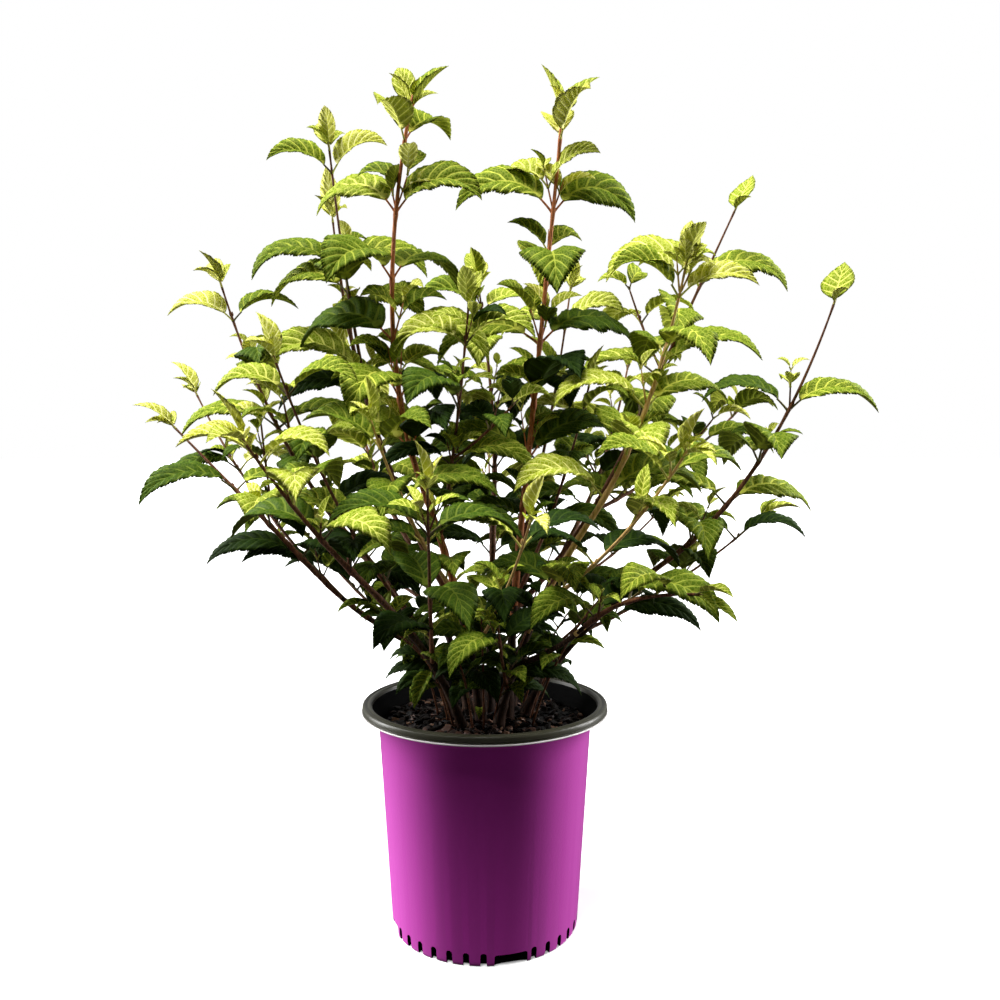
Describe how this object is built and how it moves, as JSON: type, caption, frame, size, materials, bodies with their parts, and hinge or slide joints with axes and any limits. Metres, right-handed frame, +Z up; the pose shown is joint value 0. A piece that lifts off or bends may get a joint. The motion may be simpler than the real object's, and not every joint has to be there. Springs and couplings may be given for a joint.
{
  "type": "potted doublefile viburnum",
  "caption": "Leafy shrub of upright stems with opposite, ribbed, arching leaves, growing in bark mix in a round plastic nursery pot with a rolled rim and a notched foot.",
  "frame": {"origin": "middle of the flat underside of the pot", "axes": "+Z up the plant, -Y towards its front, +X to the right seen from the front"},
  "size_m": [0.6587, 0.5397, 0.769],
  "materials": {
    "pot": "glossy purple",
    "potting_bark": "loose moist bark chips",
    "stem_bark": "thin brown bark",
    "foliage": "soft ribbed green leaf"
  },
  "bodies": {
    "root": {"pot": "pot", "soil": "potting_bark", "stem_tall": "stem_bark", "stem_right": "stem_bark", "stem_left": "stem_bark", "stem_pale": "stem_bark", "stem_far_right": "stem_bark", "stem_low_left": "stem_bark", "stem_back": "stem_bark", "stem_back_left": "stem_bark", "stem_back_right": "stem_bark", "bough_twin": "stem_bark", "bough_far_left": "stem_bark", "bough_high_right": "stem_bark", "bough_low_right": "stem_bark", "leaves_tall": "foliage", "leaves_right_tall": "foliage", "leaves_twin_high": "foliage", "leaves_twin": "foliage", "leaves_left_high": "foliage", "leaves_left_front": "foliage", "leaves_far_left": "foliage", "leaves_left_back": "foliage", "leaves_front_left": "foliage", "leaves_pale": "foliage", "leaves_right_high": "foliage", "leaves_far_right": "foliage", "leaves_right_back": "foliage", "leaves_front_right": "foliage", "leaves_low_right_back": "foliage", "leaves_low_right": "foliage", "leaves_middle": "foliage", "leaves_centre": "foliage", "leaves_front": "foliage", "leaves_front_middle": "foliage", "leaves_inner_right": "foliage", "leaves_behind_right": "foliage", "leaves_back_top": "foliage", "leaves_back_left": "foliage", "leaves_back_right": "foliage", "leaves_rear": "foliage", "leaves_rear_left": "foliage", "leaves_rear_right": "foliage", "leaves_rear_low": "foliage", "leaves_low_left": "foliage", "leaves_base_left": "foliage", "leaves_base_front": "foliage", "leaves_base_right": "foliage"}
  },
  "joints": []
}
